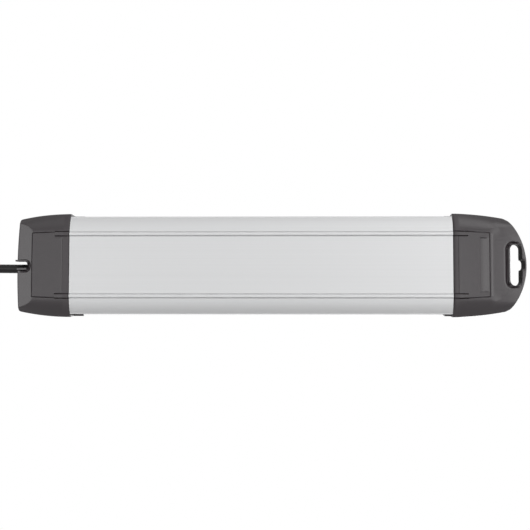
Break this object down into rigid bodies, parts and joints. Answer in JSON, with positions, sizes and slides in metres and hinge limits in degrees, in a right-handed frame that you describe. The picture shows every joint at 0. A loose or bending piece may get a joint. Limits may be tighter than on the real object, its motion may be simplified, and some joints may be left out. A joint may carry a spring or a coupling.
{
  "type": "desk power strip",
  "caption": "Desk power strip: metal channel with earthed plug outlets and a rocker switch, moulded end caps with a hanging slot and a cord notch, and a mains cord with its plug.",
  "frame": {"origin": "middle of the strip without its free cord, on the surface that it lies on", "axes": "+X along the strip from the cord end to the hanging end, +Y across it, +Z out of the outlets"},
  "size_m": [0.544, 0.1345, 0.049],
  "materials": {
    "anodised_aluminium": "fine satin anodised",
    "cap_plastic": "moulded, fine spark grain",
    "module_plastic": "moulded, satin black",
    "rocker_plastic": "translucent red, polished",
    "switch_plastic": "moulded black",
    "shutter_plastic": "moulded ivory",
    "carrier_plastic": "moulded off-white",
    "brass": "stamped, bright",
    "nickel": "nickel plated",
    "zinc_steel": "zinc plated",
    "spring_steel": "bright strip",
    "brown_wire": "extruded insulation",
    "blue_wire": "extruded insulation",
    "earth_wire": "extruded insulation, green and yellow",
    "cord_sheath": "extruded black sheath",
    "plug_rubber": "moulded black",
    "tie_fabric": "woven hook-and-loop strap",
    "lamp_glass": "neon lamp envelope"
  },
  "bodies": {
    "strip": {"alu_profile": "anodised_aluminium", "cable_end_cap": "cap_plastic", "hanger_end_cap": "cap_plastic", "cable_cap_screws": "zinc_steel", "hanger_cap_screws": "zinc_steel", "socket_1": "module_plastic", "socket_2": "module_plastic", "socket_3": "module_plastic", "socket_4": "module_plastic", "shutter_spring_1": "spring_steel", "shutter_spring_2": "spring_steel", "shutter_spring_3": "spring_steel", "shutter_spring_4": "spring_steel", "contact_tray": "carrier_plastic", "contact_deck": "carrier_plastic", "live_rail": "brass", "neutral_rail": "brass", "earth_rail": "nickel", "switch_frame": "module_plastic", "switch_body": "switch_plastic", "switch_terminals": "brass", "switch_lamp": "lamp_glass", "live_lead": "brown_wire", "neutral_lead": "blue_wire", "earth_lead": "earth_wire", "switched_live_lead": "brown_wire", "switched_neutral_lead": "blue_wire", "cord_relief": "plug_rubber", "cord_tail": "cord_sheath", "cord_clamp": "carrier_plastic", "clamp_screws": "zinc_steel", "cord_lead": "cord_sheath", "cord_coil": "cord_sheath", "cord_end": "cord_sheath", "cord_tie": "tie_fabric", "plug_body": "plug_rubber", "plug_pins": "nickel", "plug_earth_contacts": "nickel", "plug_relief": "plug_rubber"},
    "rocker": {"switch_rocker": "rocker_plastic"},
    "shutter_disc_1": {"shutter_1": "shutter_plastic"},
    "shutter_disc_2": {"shutter_2": "shutter_plastic"},
    "shutter_disc_3": {"shutter_3": "shutter_plastic"},
    "shutter_disc_4": {"shutter_4": "shutter_plastic"}
  },
  "joints": [
    {"name": "rocker_tilt", "type": "hinge", "parent": "strip", "child": "rocker", "pos_m": [-0.12625, 0, 0.0394], "axis": [0, 1, 0], "range_deg": [0, 14]},
    {"name": "shutter_turn_1", "type": "hinge", "parent": "strip", "child": "shutter_disc_1", "pos_m": [-0.0705, 0, 0.0248], "axis": [0, 0, 1], "range_deg": [0, 38], "stiffness_Nm_per_rad": 0.01, "deforming": ["shutter_spring_1"]},
    {"name": "shutter_turn_2", "type": "hinge", "parent": "strip", "child": "shutter_disc_2", "pos_m": [-0.0095, 0, 0.0248], "axis": [0, 0, 1], "range_deg": [0, 38], "stiffness_Nm_per_rad": 0.01, "deforming": ["shutter_spring_2"]},
    {"name": "shutter_turn_3", "type": "hinge", "parent": "strip", "child": "shutter_disc_3", "pos_m": [0.0515, 0, 0.0248], "axis": [0, 0, 1], "range_deg": [0, 38], "stiffness_Nm_per_rad": 0.01, "deforming": ["shutter_spring_3"]},
    {"name": "shutter_turn_4", "type": "hinge", "parent": "strip", "child": "shutter_disc_4", "pos_m": [0.1125, 0, 0.0248], "axis": [0, 0, 1], "range_deg": [0, 38], "stiffness_Nm_per_rad": 0.01, "deforming": ["shutter_spring_4"]}
  ]
}
